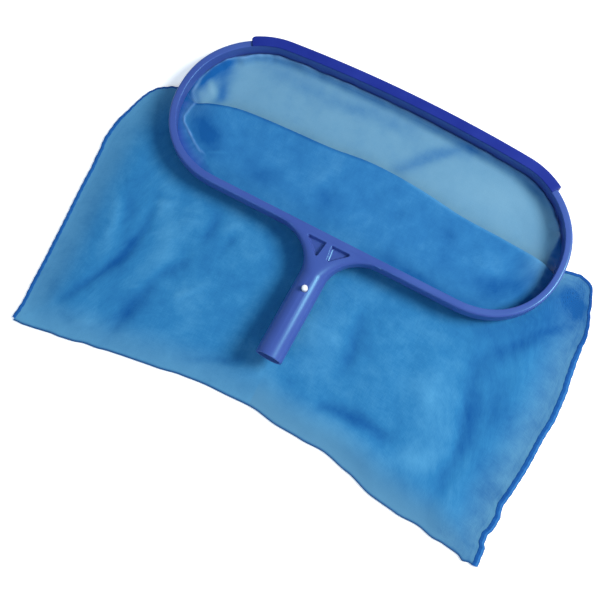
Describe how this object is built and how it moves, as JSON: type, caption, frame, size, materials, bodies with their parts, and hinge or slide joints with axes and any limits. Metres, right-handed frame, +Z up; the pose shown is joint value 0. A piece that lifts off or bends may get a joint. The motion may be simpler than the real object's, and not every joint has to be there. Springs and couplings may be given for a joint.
{
  "type": "leaf skimmer net",
  "caption": "Pool leaf skimmer net with a long rounded hoop, a clip-on front lip, a mesh bag and a handle socket with spring buttons.",
  "frame": {"origin": "centre of the net's footprint, on the surface that its laid-back bag lies on", "axes": "+X along the hoop, +Y from the handle towards the front lip, +Z up"},
  "size_m": [0.5296, 0.3896, 0.0495],
  "materials": {
    "frame_plastic": "moulded, satin gloss",
    "lip_plastic": "extruded, satin",
    "retainer_plastic": "extruded, matt",
    "mesh_cloth": "fine knitted mesh",
    "binding_tape": "woven tape",
    "cord_core": "twisted cord",
    "spring_steel": "bare spring steel",
    "button_plastic": "moulded, gloss"
  },
  "bodies": {
    "net": {"hoop_frame": "frame_plastic", "front_lip": "lip_plastic", "retainer_front": "retainer_plastic", "retainer_rear": "retainer_plastic", "retainer_left": "retainer_plastic", "retainer_right": "retainer_plastic", "mouth_hem": "binding_tape", "hem_cord": "cord_core", "bag_back_panel": "mesh_cloth", "bag_front_panel": "mesh_cloth", "seam_binding_left": "binding_tape", "seam_binding_right": "binding_tape", "spring_clip": "spring_steel"},
    "upper_button": {"button_upper": "button_plastic"},
    "lower_button": {"button_lower": "button_plastic"}
  },
  "joints": [
    {"name": "upper_button_press", "type": "slide", "parent": "net", "child": "upper_button", "axis": [0, -0.1056, -0.9944], "range_m": [0, 0.0052], "stiffness_N_per_m": 2000, "springref_m": -0.002, "deforming": ["spring_clip"]},
    {"name": "lower_button_press", "type": "slide", "parent": "net", "child": "lower_button", "axis": [0, 0.1056, 0.9944], "range_m": [0, 0.0052], "stiffness_N_per_m": 2000, "springref_m": -0.002, "deforming": ["spring_clip"]}
  ]
}
